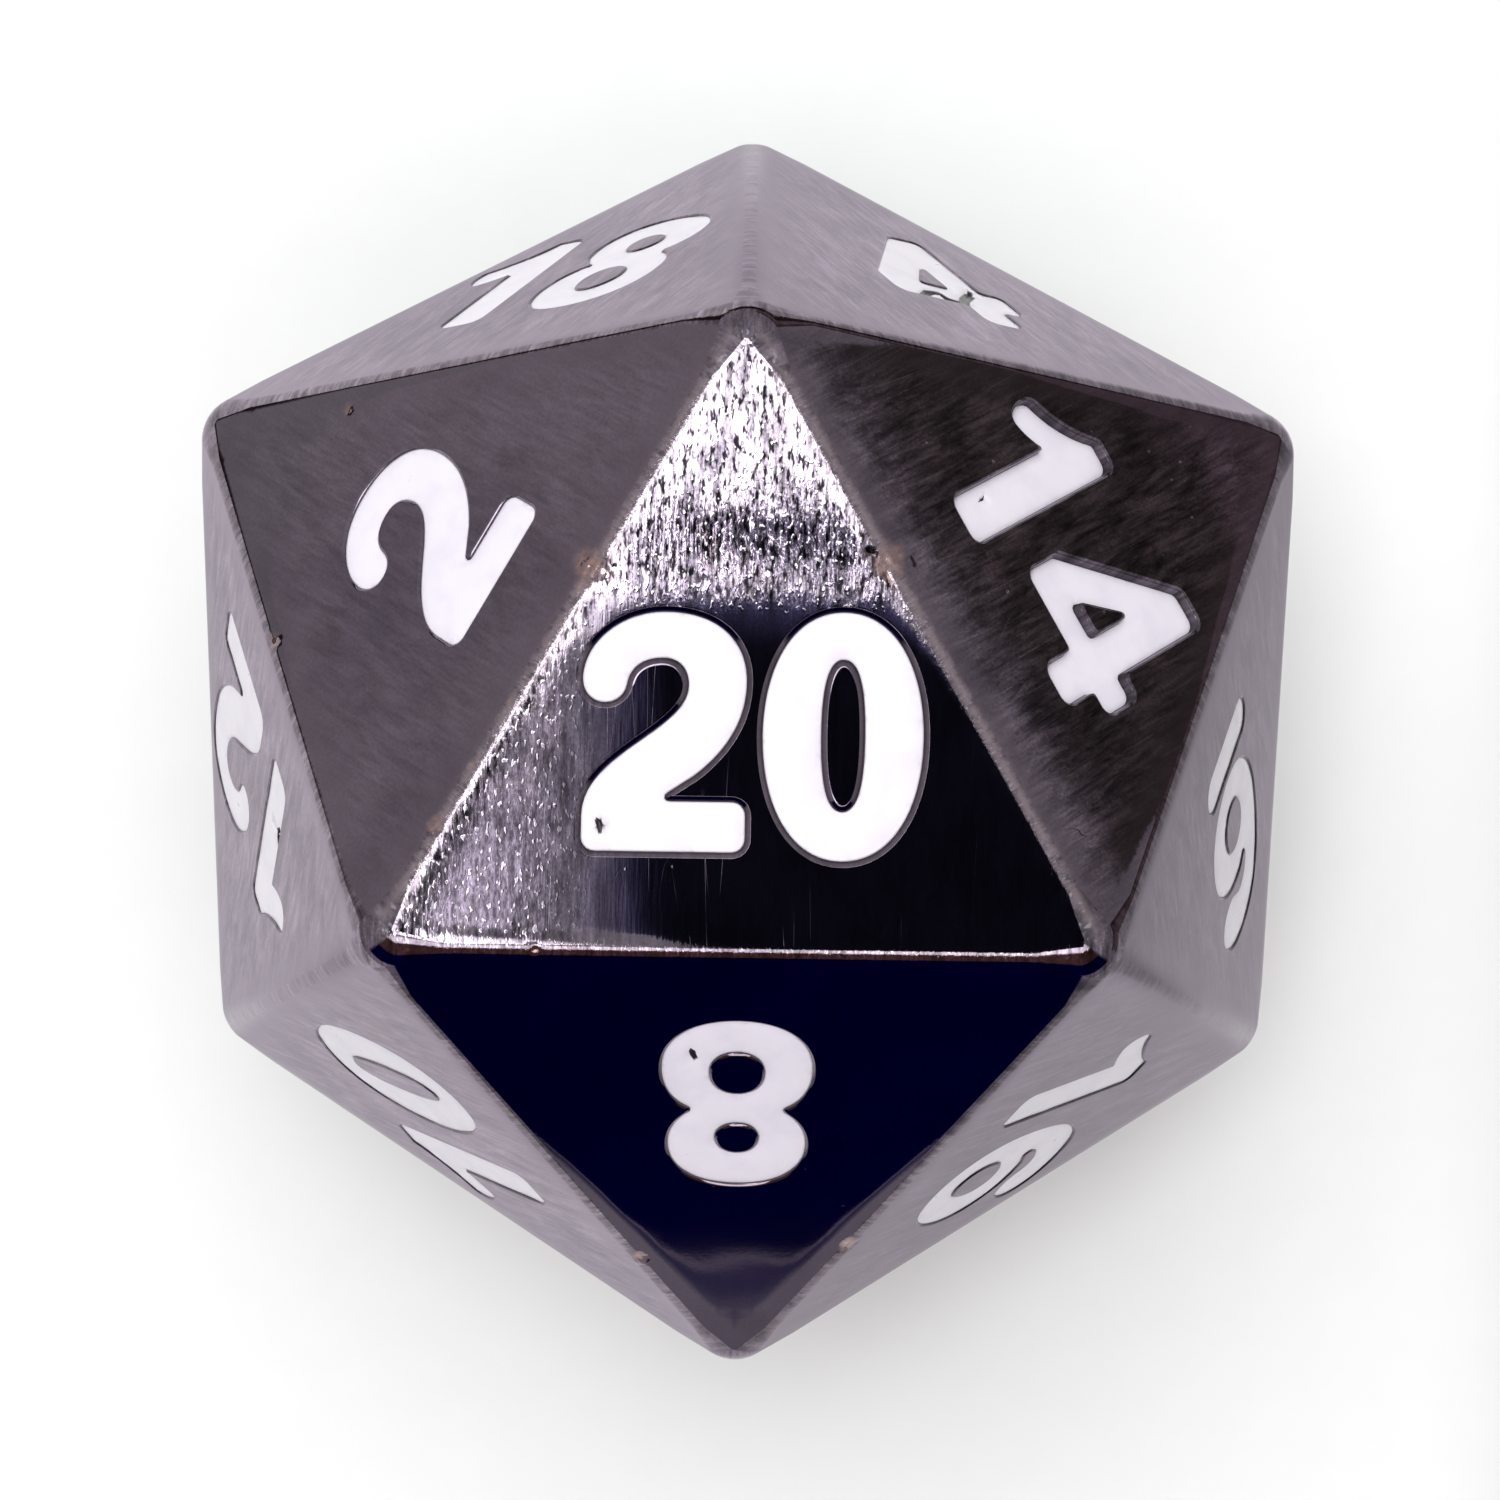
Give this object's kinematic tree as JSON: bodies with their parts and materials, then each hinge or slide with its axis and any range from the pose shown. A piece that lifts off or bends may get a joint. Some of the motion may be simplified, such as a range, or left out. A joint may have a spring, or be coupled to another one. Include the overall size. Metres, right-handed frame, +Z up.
{
  "type": "polyhedral die",
  "caption": "Cast metal icosahedral gaming die with rounded edges, a sunken numeral on every face and white enamel filling the numerals.",
  "frame": {"origin": "middle of the bottom face, which carries the 1", "axes": "+Z up through the middle of the 20 on top; +Y towards the corner that the top of the 20 points to; +X to the right of the 20"},
  "size_m": [0.0214, 0.0242, 0.02],
  "materials": {
    "plated_metal": "black nickel plating on cast zinc alloy, polished, lightly brushed and scuffed",
    "white_enamel": "baked white enamel paint, satin gloss, slightly sunk in its pockets"
  },
  "bodies": {
    "root": {"die_body": "plated_metal", "enamel_1": "white_enamel", "enamel_2": "white_enamel", "enamel_3": "white_enamel", "enamel_4": "white_enamel", "enamel_5": "white_enamel", "enamel_6": "white_enamel", "enamel_7": "white_enamel", "enamel_8": "white_enamel", "enamel_9": "white_enamel", "enamel_10_tens": "white_enamel", "enamel_10_ones": "white_enamel", "enamel_11_tens": "white_enamel", "enamel_11_ones": "white_enamel", "enamel_12_tens": "white_enamel", "enamel_12_ones": "white_enamel", "enamel_13_tens": "white_enamel", "enamel_13_ones": "white_enamel", "enamel_14_tens": "white_enamel", "enamel_14_ones": "white_enamel", "enamel_15_tens": "white_enamel", "enamel_15_ones": "white_enamel", "enamel_16_tens": "white_enamel", "enamel_16_ones": "white_enamel", "enamel_17_tens": "white_enamel", "enamel_17_ones": "white_enamel", "enamel_18_tens": "white_enamel", "enamel_18_ones": "white_enamel", "enamel_19_tens": "white_enamel", "enamel_19_ones": "white_enamel", "enamel_20_tens": "white_enamel", "enamel_20_ones": "white_enamel", "underline_6": "white_enamel", "underline_9": "white_enamel"}
  },
  "joints": []
}
